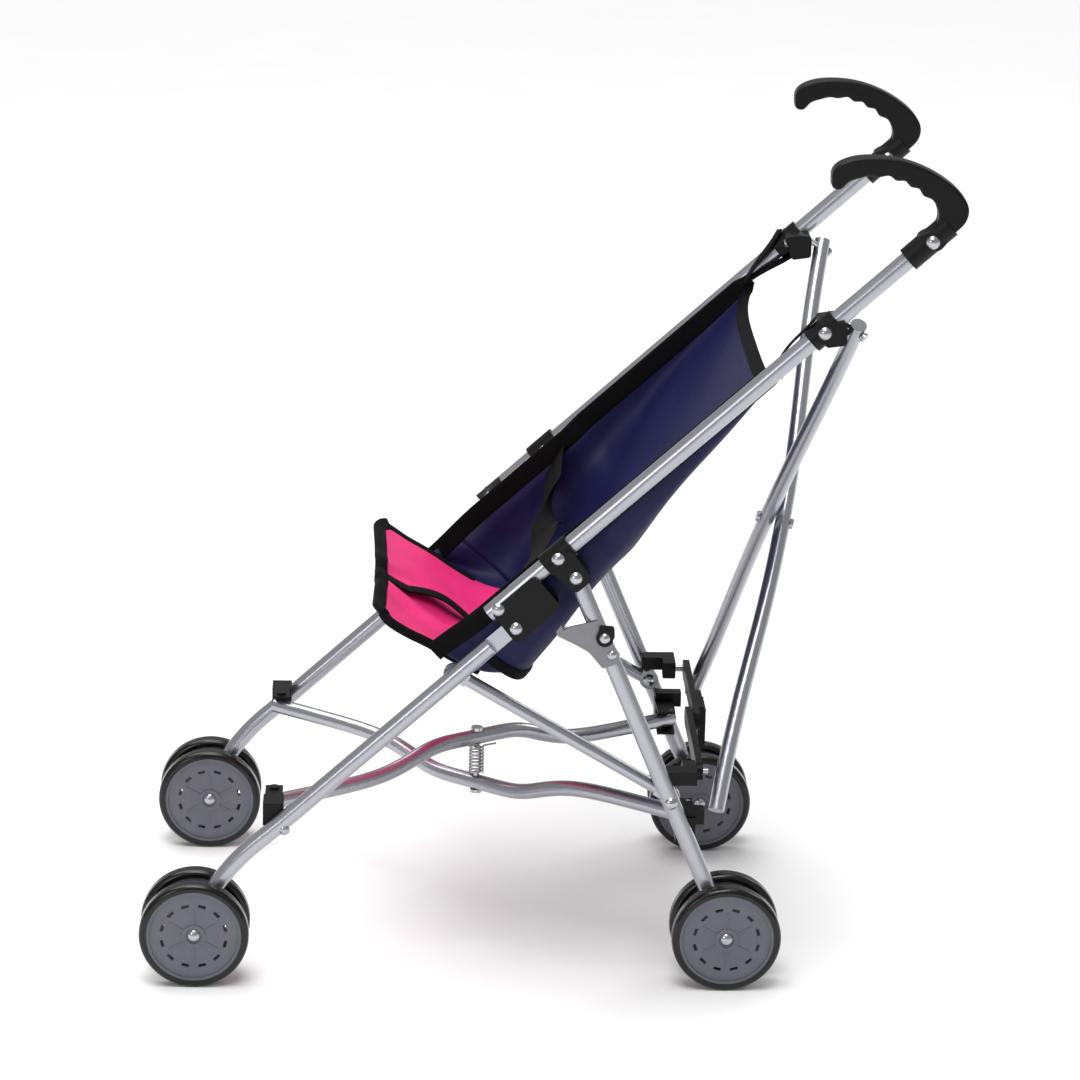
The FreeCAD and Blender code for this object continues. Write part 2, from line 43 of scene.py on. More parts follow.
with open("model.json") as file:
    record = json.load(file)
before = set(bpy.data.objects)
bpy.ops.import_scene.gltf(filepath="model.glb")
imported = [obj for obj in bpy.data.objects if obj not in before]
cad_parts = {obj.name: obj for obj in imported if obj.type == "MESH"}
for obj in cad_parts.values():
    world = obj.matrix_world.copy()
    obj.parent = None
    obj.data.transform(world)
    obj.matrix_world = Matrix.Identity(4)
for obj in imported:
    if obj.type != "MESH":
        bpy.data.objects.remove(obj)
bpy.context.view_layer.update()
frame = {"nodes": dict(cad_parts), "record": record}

# Side geometry of the frame, in metres and degrees, as the part's source has it.
HANDLE_ANGLE = math.radians(42.5)
ALONG = np.array([math.cos(HANDLE_ANGLE), 0.0, math.sin(HANDLE_ANGLE)])
LIFT = np.array([-ALONG[2], 0.0, ALONG[0]])
HANDLE_FOOT = np.array([-0.0309, 0.0, 0.2705])
HALF_TRACK = 0.1285
TUBE_R = 0.006


# ---------------------------------------------------------------- numbers and meshes

def linear(hex_colour):
    """An sRGB hex value as linear RGB with alpha 1."""
    values = np.array([int(hex_colour[i:i + 2], 16) for i in (1, 3, 5)]) / 255.0
    low = values / 12.92
    high = ((values + 0.055) / 1.055) ** 2.4
    return (*np.where(values <= 0.04045, low, high), 1.0)


def side(run, lift, y):
    """Points given along and square to the handle tubes: foot + run * along + lift * up from the tube."""
    run, lift, y = np.broadcast_arrays(np.asarray(run, float), np.asarray(lift, float), np.asarray(y, float))
    out = HANDLE_FOOT + run[..., None] * ALONG + lift[..., None] * LIFT
    out[..., 1] = y
    return out


def smoothstep(x):
    """0 below 0, 1 above 1, 3x^2 - 2x^3 between."""
    x = np.clip(x, 0, 1)
    return x * x * (3 - 2 * x)


def curve_through(points, count):
    """Evenly spaced points on the Catmull-Rom curve through the given ones."""
    p = np.asarray(points, float)
    ext = np.vstack([2 * p[0] - p[1], p, 2 * p[-1] - p[-2]])
    t = np.linspace(0, 1, 40, endpoint=False)[:, None, None]
    a, b, c, d = ext[:-3], ext[1:-2], ext[2:-1], ext[3:]
    square = 2 * a - 5 * b + 4 * c - d
    cube = 3 * b - a - 3 * c + d
    dense = 0.5 * (2 * b + (c - a) * t + square * t ** 2 + cube * t ** 3)
    dense = np.vstack([dense.transpose(1, 0, 2).reshape(-1, p.shape[1]), p[-1:]])
    reach = np.concatenate([[0], np.cumsum(np.linalg.norm(np.diff(dense, axis=0), axis=1))])
    want = np.linspace(0, reach[-1], count)
    return np.stack([np.interp(want, reach, dense[:, k]) for k in range(p.shape[1])], axis=1)


def make_object(name, verts, faces, uvs, material):
    """A mesh object at the origin with an unwrapped map in real metres."""
    mesh = bpy.data.meshes.new(name)
    mesh.from_pydata(np.asarray(verts).reshape(-1, 3).tolist(), [], [list(map(int, f)) for f in faces])
    layer = mesh.uv_layers.new(name="cloth")
    index = np.empty(len(mesh.loops), int)
    mesh.loops.foreach_get("vertex_index", index)
    layer.data.foreach_set("uv", np.asarray(uvs, float).reshape(-1, 2)[index].ravel())
    mesh.polygons.foreach_set("use_smooth", np.ones(len(mesh.polygons), bool))
    mesh.materials.append(material)
    mesh.update()
    obj = bpy.data.objects.new(name, mesh)
    bpy.context.scene.collection.objects.link(obj)
    return obj


def grid_faces(rows, cols, wrap=False):
    """Quads of a rows x cols grid, closed across the columns when wrap is set."""
    i, j = np.meshgrid(np.arange(rows - 1), np.arange(cols if wrap else cols - 1), indexing="ij")
    nxt = (j + 1) % cols
    quads = np.stack([i * cols + j, (i + 1) * cols + j, (i + 1) * cols + nxt, i * cols + nxt], axis=-1)
    return quads.reshape(-1, 4)


def metric_uv(points):
    """Distances along the rows and the columns of a grid, in metres."""
    du = np.linalg.norm(np.diff(points, axis=0), axis=2).cumsum(axis=0)
    du = np.concatenate([np.zeros((1, points.shape[1])), du])
    dv = np.linalg.norm(np.diff(points, axis=1), axis=2).cumsum(axis=1)
    dv = np.concatenate([np.zeros((points.shape[0], 1)), dv], axis=1)
    return np.stack([du, dv], axis=-1)


def cloth(name, points, material, thick, flip=False):
    """A sheet from a grid of points, thickened evenly to both sides."""
    faces = grid_faces(points.shape[0], points.shape[1])
    if flip:
        faces = faces[:, ::-1]
    obj = make_object(name, points, faces, metric_uv(points), material)
    solid = obj.modifiers.new("cloth thickness", "SOLIDIFY")
    solid.thickness = thick
    solid.offset = 0.0
    return obj


def grid_area(points):
    """The area of a grid of points, from the cross products of its cells' diagonals."""
    a = points[1:, 1:] - points[:-1, :-1]
    b = points[1:, :-1] - points[:-1, 1:]
    return float(0.5 * np.linalg.norm(np.cross(a, b), axis=2).sum())


def tape(name, path, across, width, thick, material, squareness=4.0):
    """A flat tape carried along a path: at each point a superellipse |x/a|^n + |y/b|^n = 1 with a half the
    width along `across` and b half the thickness along the normal; both ends are closed with a cap."""
    path = np.asarray(path, float)
    ahead = np.gradient(path, axis=0)
    ahead /= np.linalg.norm(ahead, axis=1, keepdims=True)
    across = np.broadcast_to(np.asarray(across, float), path.shape)
    across = across - (across * ahead).sum(1, keepdims=True) * ahead
    across /= np.linalg.norm(across, axis=1, keepdims=True)
    normal = np.cross(ahead, across)
    width = np.broadcast_to(np.asarray(width, float), path.shape[:1])[:, None, None]
    count = 20
    a = np.linspace(0, 2 * np.pi, count, endpoint=False)
    cx = np.sign(np.cos(a)) * np.abs(np.cos(a)) ** (2 / squareness)
    cy = np.sign(np.sin(a)) * np.abs(np.sin(a)) ** (2 / squareness)
    sideways = across[:, None] * (cx[None, :, None] * width / 2)
    verts = path[:, None] + sideways + normal[:, None] * (cy[None, :, None] * thick / 2)
    faces = [list(f[::-1]) for f in grid_faces(len(path), count, wrap=True)]
    faces.append(list(range(count - 1, -1, -1)))
    faces.append(list(range((len(path) - 1) * count, len(path) * count)))
    reach = np.concatenate([[0], np.cumsum(np.linalg.norm(np.diff(path, axis=0), axis=1))])
    crosswise = np.broadcast_to(cx * float(width.mean()) / 2, (len(path), count))
    uv = np.stack([np.repeat(reach[:, None], count, 1), crosswise], axis=-1)
    return make_object(name, verts, faces, uv, material)


# ---------------------------------------------------------------- materials

def add(tree, kind, links=None, **settings):
    """Adds a node; settings whose names are sockets go to those sockets, links is {socket: output socket}."""
    node = tree.nodes.new(kind)
    for key, value in settings.items():
        if hasattr(node, key):
            setattr(node, key, value)
        else:
            node.inputs[key.replace("_", " ")].default_value = value
    for key, source in (links or {}).items():
        tree.links.new(source, node.inputs[key])
    return node


def start(name, **shader):
    """A named material with its shader sockets set; returns material, tree, shader node."""
    found = bpy.data.materials.get(name)
    if found:
        bpy.data.materials.remove(found)
    material = bpy.data.materials.new(name)
    material.use_nodes = True
    tree = material.node_tree
    bsdf = tree.nodes["Principled BSDF"]
    for key, value in shader.items():
        bsdf.inputs[key.replace("_", " ")].default_value = value
    return material, tree, bsdf


def mottled(tree, source, scale, low, high, detail=4.0):
    """Noise turned into a colour between two hex colours."""
    noise = add(tree, "ShaderNodeTexNoise", {"Vector": source}, Scale=scale, Detail=detail, Roughness=0.6)
    mix = add(tree, "ShaderNodeMix", {"Factor": noise.outputs["Fac"]}, data_type="RGBA")
    mix.inputs[6].default_value = linear(low)
    mix.inputs[7].default_value = linear(high)
    return noise, mix


def lacquered_tube():
    """Steel tube under silver lacquer: fine metal flake gives a soft grain, and
    the clear coat gives the gloss."""
    material, tree, bsdf = start(
        "lacquered steel tube", Metallic=0.88, Roughness=0.26, Coat_Weight=0.35, Coat_Roughness=0.12)
    where = add(tree, "ShaderNodeTexCoord").outputs["Object"]
    flake, colour = mottled(tree, where, 2600.0, "#a2a3ab", "#aeafb7", 2.0)
    tree.links.new(colour.outputs[2], bsdf.inputs["Base Color"])
    smudge = add(tree, "ShaderNodeTexNoise", {"Vector": where}, Scale=38.0, Detail=3.0)
    rough = add(tree, "ShaderNodeMapRange", {"Value": smudge.outputs["Fac"]}, To_Min=0.23, To_Max=0.29)
    tree.links.new(rough.outputs["Result"], bsdf.inputs["Roughness"])
    bump = add(tree, "ShaderNodeBump", {"Height": flake.outputs["Fac"]}, Strength=0.02, Distance=0.0001)
    tree.links.new(bump.outputs["Normal"], bsdf.inputs["Normal"])
    return material


def zinc_plated():
    """Zinc-plated steel of rivets, axles and spring: brighter than the tubes, with faint tumbling marks."""
    material, tree, bsdf = start("zinc-plated steel", Metallic=1.0, Roughness=0.22)
    where = add(tree, "ShaderNodeTexCoord").outputs["Object"]
    marks, colour = mottled(tree, where, 420.0, "#9fa1a6", "#c3c4c8", 5.0)
    tree.links.new(colour.outputs[2], bsdf.inputs["Base Color"])
    rough = add(tree, "ShaderNodeMapRange", {"Value": marks.outputs["Fac"]}, To_Min=0.14, To_Max=0.34)
    tree.links.new(rough.outputs["Result"], bsdf.inputs["Roughness"])
    return material


def rolled_sheet():
    """Bare cold-rolled steel sheet: dull, with fine streaks along the rolling direction."""
    material, tree, bsdf = start("cold-rolled sheet steel", Metallic=0.7, Roughness=0.42)
    where = add(tree, "ShaderNodeTexCoord").outputs["Object"]
    stretch = add(tree, "ShaderNodeMapping", {"Vector": where}, Scale=(60.0, 60.0, 900.0))
    streaks, colour = mottled(tree, stretch.outputs["Vector"], 1.0, "#74747a", "#87878c", 4.0)
    tree.links.new(colour.outputs[2], bsdf.inputs["Base Color"])
    bump = add(tree, "ShaderNodeBump", {"Height": streaks.outputs["Fac"]}, Strength=0.08, Distance=0.0002)
    tree.links.new(bump.outputs["Normal"], bsdf.inputs["Normal"])
    return material


def moulded_black():
    """Black moulded nylon: satin, with the fine spark texture of its mould (about 0.4 mm, drawn at 1 mm)."""
    material, tree, bsdf = start("moulded black nylon", Roughness=0.4, Specular_IOR_Level=0.2)
    where = add(tree, "ShaderNodeTexCoord").outputs["Object"]
    grain, colour = mottled(tree, where, 1000.0, "#050506", "#0c0c0e", 3.0)
    tree.links.new(colour.outputs[2], bsdf.inputs["Base Color"])
    worn = add(tree, "ShaderNodeTexNoise", {"Vector": where}, Scale=60.0, Detail=2.0)
    rough = add(tree, "ShaderNodeMapRange", {"Value": worn.outputs["Fac"]}, To_Min=0.34, To_Max=0.52)
    tree.links.new(rough.outputs["Result"], bsdf.inputs["Roughness"])
    bump = add(tree, "ShaderNodeBump", {"Height": grain.outputs["Fac"]}, Strength=0.12, Distance=0.0002)
    tree.links.new(bump.outputs["Normal"], bsdf.inputs["Normal"])
    return material


def gloss_tyre():
    """Hard glossy black PVC tyre: a bright reflection with a little dust in its roughness."""
    material, tree, bsdf = start("glossy PVC tyre", Roughness=0.2, Specular_IOR_Level=0.4)
    where = add(tree, "ShaderNodeTexCoord").outputs["Object"]
    dust, colour = mottled(tree, where, 140.0, "#060607", "#0e0e10", 4.0)
    tree.links.new(colour.outputs[2], bsdf.inputs["Base Color"])
    rough = add(tree, "ShaderNodeMapRange", {"Value": dust.outputs["Fac"]}, To_Min=0.14, To_Max=0.3)
    tree.links.new(rough.outputs["Result"], bsdf.inputs["Roughness"])
    return material


def hub_plastic():
    """Grey moulded polypropylene of the hubs: satin, slightly waxy, with faint flow marks."""
    material, tree, bsdf = start("moulded grey polypropylene", Roughness=0.46, Subsurface_Weight=0.03)
    where = add(tree, "ShaderNodeTexCoord").outputs["Object"]
    flow, colour = mottled(tree, where, 90.0, "#555761", "#656771", 5.0)
    tree.links.new(colour.outputs[2], bsdf.inputs["Base Color"])
    grain = add(tree, "ShaderNodeTexNoise", {"Vector": where}, Scale=1200.0, Detail=2.0)
    bump = add(tree, "ShaderNodeBump", {"Height": grain.outputs["Fac"]}, Strength=0.08, Distance=0.0002)
    tree.links.new(bump.outputs["Normal"], bsdf.inputs["Normal"])
    return material


def woven(name, low, high, spacing, sheen, roughness, crease, gloss=0.28):
    """Woven polyester: two crossing thread waves on the cloth's own map make the weave, drawn at `spacing`
    metres so that it shows; low noise gives soft creases and slight dye variation."""
    material, tree, bsdf = start(
        name, Roughness=roughness, Sheen_Weight=sheen, Sheen_Roughness=0.4, Specular_IOR_Level=gloss)
    where = add(tree, "ShaderNodeUVMap", uv_map="cloth").outputs["UV"]
    warp, weft = (
        add(tree, "ShaderNodeTexWave", {"Vector": where}, bands_direction=way,
            Scale=0.05 * 2 * math.pi / spacing, Distortion=0.3, Detail=1.0)
        for way in ("X", "Y"))
    threads = add(
        tree, "ShaderNodeMath", {0: warp.outputs["Fac"], 1: weft.outputs["Fac"]}, operation="MULTIPLY")
    dye, colour = mottled(tree, where, 24.0, low, high, 5.0)
    shade = add(tree, "ShaderNodeMix", {"Factor": threads.outputs[0], 7: colour.outputs[2]}, data_type="RGBA")
    shade.inputs[6].default_value = linear(low)
    tree.links.new(shade.outputs[2], bsdf.inputs["Base Color"])
    folds = add(tree, "ShaderNodeTexNoise", {"Vector": where}, Scale=11.0, Detail=3.0, Distortion=1.2)
    soft = add(tree, "ShaderNodeBump", {"Height": folds.outputs["Fac"]}, Strength=crease, Distance=0.004)
    fine = add(
        tree, "ShaderNodeBump", {"Height": threads.outputs[0], "Normal": soft.outputs["Normal"]},
        Strength=0.25, Distance=0.0003)
    tree.links.new(fine.outputs["Normal"], bsdf.inputs["Normal"])
    return material


def floor_paper():
    """Matt pale backdrop paper with a barely visible tooth."""
    material, tree, bsdf = start("pale backdrop paper", Roughness=0.9, Specular_IOR_Level=0.1)
    where = add(tree, "ShaderNodeTexCoord").outputs["Object"]
    _, colour = mottled(tree, where, 9.0, "#f3f3f3", "#f7f7f7", 2.0)
    tree.links.new(colour.outputs[2], bsdf.inputs["Base Color"])
    return material


# ---------------------------------------------------------------- the seat's shape

TOP_RUN = 0.250
CREASE_RUN = -0.036
LAST_RUN = -0.057
WALL_REACH = 0.62
CLOTH_THICK = 0.0007
BASE_THICK = 0.0016
THREAD_SPACING = 0.0016
HEM_Y = HALF_TRACK - TUBE_R - 0.0016
BRACKET_Y = 0.1155
CORNER = 0.46


def hem_line(run):
    """Lift of the seat's upper hem, a straight line just under the top of the handle tubes."""
    return np.full_like(np.asarray(run, float), -0.001)


def hem_half(run):
    """Half width at the hem: beside the tubes, pulled in where the plates and rivets stand between, and
    drawn further in to the corner of the seat base."""
    run = np.asarray(run)
    pull = smoothstep((0.092 - run) / 0.020)
    corner = smoothstep((-0.012 - run) / 0.046)
    return HEM_Y - (HEM_Y - BRACKET_Y) * pull - 0.0105 * corner


def seat_section(s, t, sizes):
    """The hanging seat. s goes from the top edge (0) to the crease (1), t across from -1 to 1.
    The section is a superellipse: y = w sin^a, drop = depth cos^b, so the sides are steep and
    the bottom is flat."""
    angle = t * math.pi / 2
    across = np.sign(t) * np.abs(np.sin(angle)) ** 0.62
    drop = np.abs(np.cos(angle)) ** 0.36
    edge = -0.010 * (1 - s) ** 6 * (1 - t ** 2)
    hem_run = TOP_RUN + s * (CREASE_RUN - TOP_RUN) + edge
    low_run = TOP_RUN - 0.009 + s * (-0.030 - TOP_RUN + 0.009) + edge
    low_run = low_run + 0.004 * smoothstep((s - 0.9) / 0.1) * np.cos(angle) ** 0.2
    depth = sizes.top_sag + s * (sizes.seat_depth - sizes.top_sag)
    run = hem_run * (1 - drop) + low_run * drop
    lift = hem_line(hem_run) * (1 - drop) - depth * drop
    slack = 0.0018 * np.sin(9 * s + 2.0 * t) * np.cos(3.0 * t + 4 * s) * (1 - t ** 2)
    pulls = 0.0013 * np.sin(26 * s - 5 * t) * smoothstep(1 - np.abs(t)) * s
    tugs = 0.0016 * np.sin(21 * s + 11 * np.abs(t)) * np.abs(t) * (1 - np.abs(t)) * smoothstep(s * 3)
    return side(run, lift + slack + pulls + tugs, across * hem_half(hem_run))


BASE_PATH = np.array([
    [-0.0095, 0.2020], [-0.0330, 0.2100], [-0.0560, 0.2230], [-0.0740, 0.2345],
    [-0.0930, 0.2450], [-0.1070, 0.2545], [-0.1125, 0.2595]])


def base_raw(q, u, sizes):
    """The seat base before it is sewn to the seat back: a side curve swept across, wider at the front,
    corners rounded off, the middle dipping by a parabola."""
    path = curve_through(BASE_PATH, 200)
    x = np.interp(q, np.linspace(0, 1, 200), path[:, 0])
    z = np.interp(q, np.linspace(0, 1, 200), path[:, 1])
    half = sizes.base_back_width / 2 + (sizes.base_front_width - sizes.base_back_width) / 2 * q
    half = half * (1 - 0.05 * np.clip((q - 0.86) / 0.14, 0, 1) ** 3)
    round_off = 0.007 * np.clip((np.abs(u) - 0.86) / 0.14, 0, 1) ** 2 * np.clip((q - 0.7) / 0.3, 0, 1)
    dip = 0.007 * (1 - u ** 2) * smoothstep(q * 1.6)
    ripple = 0.0020 * np.sin(7 * u + 5 * q) * np.sin(6 * q + 1)
    ripple = ripple + 0.0013 * np.sin(15 * u - 9 * q) * (1 - np.abs(u))
    fan = 0.0016 * np.sin(9 * np.arctan2(u, 1.15 - q)) * smoothstep(q * 2) * (1 - np.abs(u) ** 3)
    rise = (ripple + fan) * smoothstep(1.2 - np.abs(u))
    return np.stack([x + 0.3 * dip + 0.8 * round_off, u * half, z - dip + rise - 0.5 * round_off], axis=-1)


def base_surface(q, u, sizes):
    """The seat base: its raw shape, moved at the back edge onto the crease of the seat back and fading out
    forward, so the two are sewn along one line."""
    q, u = np.broadcast_arrays(np.asarray(q, float), np.asarray(u, float))
    seam = seat_section(np.ones_like(u), CORNER * u, sizes)
    share = (1 - smoothstep(q / 0.34))[..., None]
    return base_raw(q, u, sizes) + share * (seam - base_raw(np.zeros_like(q), u, sizes))


def base_lining(q, u, sizes):
    """The cloth under the seat base: the base shape let down by a bow that is 9 mm deep near the front."""
    drop = 0.0030 + 0.0060 * (1 - u ** 10) * np.sin(math.pi * np.clip(q, 0, 1) ** 0.7) ** 0.5
    down = np.stack([0.35 * drop, np.zeros_like(drop), -drop], axis=-1)
    return base_surface(0.36 + 0.625 * q, u * 0.97, sizes) + down


def side_wall(q, v, hand, sizes):
    """The wall between the seat base and the hem on the front leg, a Coons patch: its back edge is the end
    of the seat section, its lower edge the side of the base, its upper edge the hem, and it
    closes to a point."""
    low = base_surface(q * WALL_REACH, np.full_like(q, float(hand)), sizes)
    run = CREASE_RUN + (LAST_RUN - CREASE_RUN) * q
    high = side(run, hem_line(run), hand * hem_half(run))
    tip = base_surface(np.full_like(q, WALL_REACH), np.full_like(q, float(hand)), sizes)
    high = high * (1 - q[..., None] ** 3) + tip * q[..., None] ** 3
    back = seat_section(np.ones_like(v), hand * (CORNER + (1 - CORNER) * v), sizes)
    ends_low = base_surface(np.zeros_like(q), np.full_like(q, float(hand)), sizes)
    crease = np.full_like(q, CREASE_RUN)
    ends_high = side(crease, hem_line(crease), hand * hem_half(crease))
    v = v[..., None]
    fix = back - (ends_low * (1 - v) + ends_high * v)
    belly = 0.003 * np.sin(math.pi * v) * np.sin(math.pi * q)[..., None] * np.array([0.0, hand, -0.3])
    return low * (1 - v) + high * v + (1 - q[..., None]) * fix + belly


# ---------------------------------------------------------------- what a user may change

class StrollerSeatSizes(bpy.types.PropertyGroup):
    seat_depth: bpy.props.FloatProperty(
        name="Seat depth", description="How far the seat hangs below the handle tubes at its crease",
        default=0.065, unit="LENGTH")
    top_sag: bpy.props.FloatProperty(
        name="Top sag", description="How far the top edge hangs below the handle tubes",
        default=0.010, unit="LENGTH")
    base_front_width: bpy.props.FloatProperty(
        name="Base front width", description="Width of the seat base at its front edge",
        default=0.212, unit="LENGTH")
    base_back_width: bpy.props.FloatProperty(
        name="Base back width", description="Width of the seat base at the crease",
        default=0.186, unit="LENGTH")
    binding_width: bpy.props.FloatProperty(
        name="Binding width", description="Width of the black tape sewn over each edge",
        default=0.010, unit="LENGTH")
    hem_width: bpy.props.FloatProperty(
        name="Hem width", description="Width of the black hem beside the handle tubes",
        default=0.014, unit="LENGTH")
    belt_width: bpy.props.FloatProperty(
        name="Belt width", description="Width of the lap belt",
        default=0.026, unit="LENGTH")
    strap_width: bpy.props.FloatProperty(
        name="Crotch strap width", description="Width of the strap on the seat base",
        default=0.013, unit="LENGTH")


class StrollerColours(bpy.types.PropertyGroup):
    back_dark: bpy.props.StringProperty(
        name="Back, shadow", description="Darker thread colour of the seat back, as hex",
        default="#121337")
    back_light: bpy.props.StringProperty(
        name="Back, light", description="Lighter thread colour of the seat back, as hex",
        default="#25276c")
    base_dark: bpy.props.StringProperty(
        name="Base, shadow", description="Darker thread colour of the seat base, as hex",
        default="#e0206f")
    base_light: bpy.props.StringProperty(
        name="Base, light", description="Lighter thread colour of the seat base, as hex",
        default="#f53a8e")
    tape_dark: bpy.props.StringProperty(
        name="Tape, shadow", description="Darker thread colour of tapes and straps, as hex",
        default="#050506")
    tape_light: bpy.props.StringProperty(
        name="Tape, light", description="Lighter thread colour of tapes and straps, as hex",
        default="#0e0e10")


def sizes():
    return bpy.context.scene.stroller_sizes


def colours():
    return bpy.context.scene.stroller_colours


ROOT_SIDE = "left_side"


def hang_on_fold(obj):
    """Rides on the left side, with a mesh of its own."""
    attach(obj, ROOT_SIDE)
    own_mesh(obj)


def tape_material():
    c = colours()
    return bpy.data.materials.get("black polyester webbing") or woven(
        "black polyester webbing", c.tape_dark, c.tape_light, 0.0014, 0.0, 0.85, 0.1, 0.15)


# ---------------------------------------------------------------- operators

class STROLLER_OT_frame_finishes(bpy.types.Operator):
    """Give every frame piece the finish of its real material"""
    bl_idname = "stroller.frame_finishes"
    bl_label = "Frame Finishes"

    def execute(self, context):
        finishes = {
            "silver_tube": lacquered_tube(), "bright_steel": zinc_plated(), "hook_sheet": rolled_sheet(),
            "black_plastic": moulded_black(), "tyre_black": gloss_tyre(), "hub_grey": hub_plastic()}
        slots = {part["node"]: part["material_slot"] for part in frame["record"]["subparts"]}
        for name, obj in frame["nodes"].items():
            finish = finishes.get(slots.get(name))
            if finish is None:
                continue
            for slot in obj.material_slots:
                slot.link = "OBJECT"
                slot.material = finish
        return {"FINISHED"}


class STROLLER_OT_seat_back(bpy.types.Operator):
    """Sew the hanging seat back and its two side walls"""
    bl_idname = "stroller.seat_back"
    bl_label = "Seat Back"

    def execute(self, context):
        c = colours()
        navy = woven("navy woven polyester", c.back_dark, c.back_light, THREAD_SPACING, 0.0, 0.5, 0.6, 0.2)
        s, t = np.meshgrid(np.linspace(0, 1, 90), np.linspace(-1, 1, 97), indexing="ij")
        points = seat_section(s, t, sizes())
        back = cloth("seat_back_cloth", points, navy, CLOTH_THICK, flip=True)
        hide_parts("seat_sling")
        walls = []
        for hand, word in ((-1, "left"), (1, "right")):
            q, v = np.meshgrid(np.linspace(0, 1, 30), np.linspace(0, 1, 24), indexing="ij")
            surface = side_wall(q, v, hand, sizes())
            wall = cloth("seat_wall_" + word, surface, navy, CLOTH_THICK, flip=hand > 0)
            walls.append((wall, grid_area(surface), "handle_tube_" + word))
        for piece in [back] + [wall for wall, _, _ in walls]:
            hang_on_fold(piece)
        return {"FINISHED"}


class STROLLER_OT_seat_base(bpy.types.Operator):
    """Sew the stiff seat base that rises forward"""
    bl_idname = "stroller.seat_base"
    bl_label = "Seat Base"

    def execute(self, context):
        c = colours()
        pink = woven("pink woven polyester", c.base_dark, c.base_light, THREAD_SPACING, 0.08, 0.55, 0.6)
        q, u = np.meshgrid(np.linspace(0, 1, 80), np.linspace(-1, 1, 90), indexing="ij")
        points = base_surface(q, u, sizes())
        base = cloth("seat_base_cloth", points, pink, BASE_THICK)
        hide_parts("seat_tongue")
        hang_on_fold(base)
        under = base_lining(q, u, sizes())
        lining = cloth("seat_base_lining", under, pink, CLOTH_THICK, flip=True)
        hang_on_fold(lining)
        return {"FINISHED"}


class STROLLER_OT_bindings(bpy.types.Operator):
    """Sew the black hems and edge tapes"""
    bl_idname = "stroller.bindings"
    bl_label = "Hems And Edge Tapes"

    def execute(self, context):
        z = sizes()
        black = tape_material()
        pieces = []
        for hand, word in ((-1, "left"), (1, "right")):
            run = np.linspace(TOP_RUN - 0.002, LAST_RUN - 0.002, 110)
            path = side(run, hem_line(run) - 0.001, hand * hem_half(run))
            turned_in = 1 - 0.35 * smoothstep((run - TOP_RUN + 0.014) / 0.012)
            pieces.append(tape("hem_" + word, path, LIFT, z.hem_width * turned_in, 0.0024, black))
            q = np.linspace(0.30, 1.0, 70)
            edge = base_surface(q, np.full_like(q, hand * 0.99), z) - np.array([0, 0, 0.0016])
            pieces.append(tape(
                "base_edge_tape_" + word, edge, (0, 1.0 * hand, 0.35), z.binding_width * 0.75, 0.0066,
                black, 3.0))
        t = np.linspace(-0.993, 0.993, 90)
        top = seat_section(np.full_like(t, 0.016), t, z)
        pieces.append(tape("top_edge_tape", top, ALONG, z.binding_width, 0.0028, black))
        u = np.linspace(-1.0, 1.0, 80)
        front = base_surface(np.full_like(u, 0.985), u, z)
        ahead = base_surface(np.full_like(u, 1.0), u, z) - base_surface(np.full_like(u, 0.93), u, z)
        pieces.append(tape("base_front_tape", front, ahead, z.binding_width, 0.0056, black, 3.0))
        t = np.linspace(-0.97, 0.97, 110)
        crease = seat_section(np.ones_like(t), t, z)
        inside = seat_section(np.full_like(t, 0.95), t, z)
        outward = crease - (crease * ALONG).sum(1, keepdims=True) * ALONG
        outward = outward - (HANDLE_FOOT - HANDLE_FOOT @ ALONG * ALONG)
        outward /= np.linalg.norm(outward, axis=1, keepdims=True)
        pieces.append(tape(
            "crease_tape", crease + 0.0014 * outward, crease - inside, 0.008, 0.0020, black))
        for piece in pieces:
            hang_on_fold(piece)
        return {"FINISHED"}


class STROLLER_OT_straps(bpy.types.Operator):
    """Make the lap belt, the crotch strap and the two corner loops"""
    bl_idname = "stroller.straps"
    bl_label = "Straps"

    def execute(self, context):
        z = sizes()
        black = tape_material()
        knots = np.array([
            [0.016, 0.1165, 0.302], [0.014, 0.100, 0.297], [0.012, 0.070, 0.290], [0.008, 0.030, 0.284],
            [0.003, -0.020, 0.282], [-0.003, -0.060, 0.285],
            [-0.008, -0.095, 0.290], [-0.010, -0.1140, 0.292]])
        path = curve_through(knots, 100)
        turn = np.linspace(0, 1, 100)
        twist = 0.35 + math.pi * smoothstep((turn - 0.16) / 0.4) * 0.92
        across = np.cos(twist)[:, None] * ALONG + np.sin(twist)[:, None] * LIFT
        pinch = 1 - 0.5 * np.exp(-((turn - 0.34) / 0.10) ** 2)
        belt = tape("lap_belt_webbing", path, across, z.belt_width * pinch, 0.0014, black)
        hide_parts("lap_belt")
        q = np.linspace(0.30, 0.985, 70)
        mid = base_surface(q, np.zeros_like(q), z)
        rise = 0.0022 + 0.0055 * np.sin(math.pi * np.clip((q - 0.34) / 0.46, 0, 1))
        lifted = mid + rise[:, None] * np.array([0.55, 0, 0.83])
        strap = tape("crotch_strap_webbing", lifted, (0, 1, 0), z.strap_width, 0.0018, black)
        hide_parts("crotch_strap")
        for hand, word in ((-1, "left"), (1, "right")):
            y = hand * HALF_TRACK
            inner = y - hand * 0.0095
            for which, sign in (("upper", 1), ("lower", -1)):
                knots = np.array([
                    side(0.243, 0.0, inner), side(0.260, sign * 0.0040 + 0.001, inner),
                    side(0.276, sign * 0.0078, y - hand * 0.005), side(0.2862, sign * 0.0101, y)])
                name = "corner_loop_%s_%s" % (which, word)
                loop = tape(name, curve_through(knots, 40), (0, hand, 0.2), 0.008, 0.0013, black)
                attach(loop, word + "_side")
        for piece in [belt, strap]:
            hang_on_fold(piece)
        return {"FINISHED"}


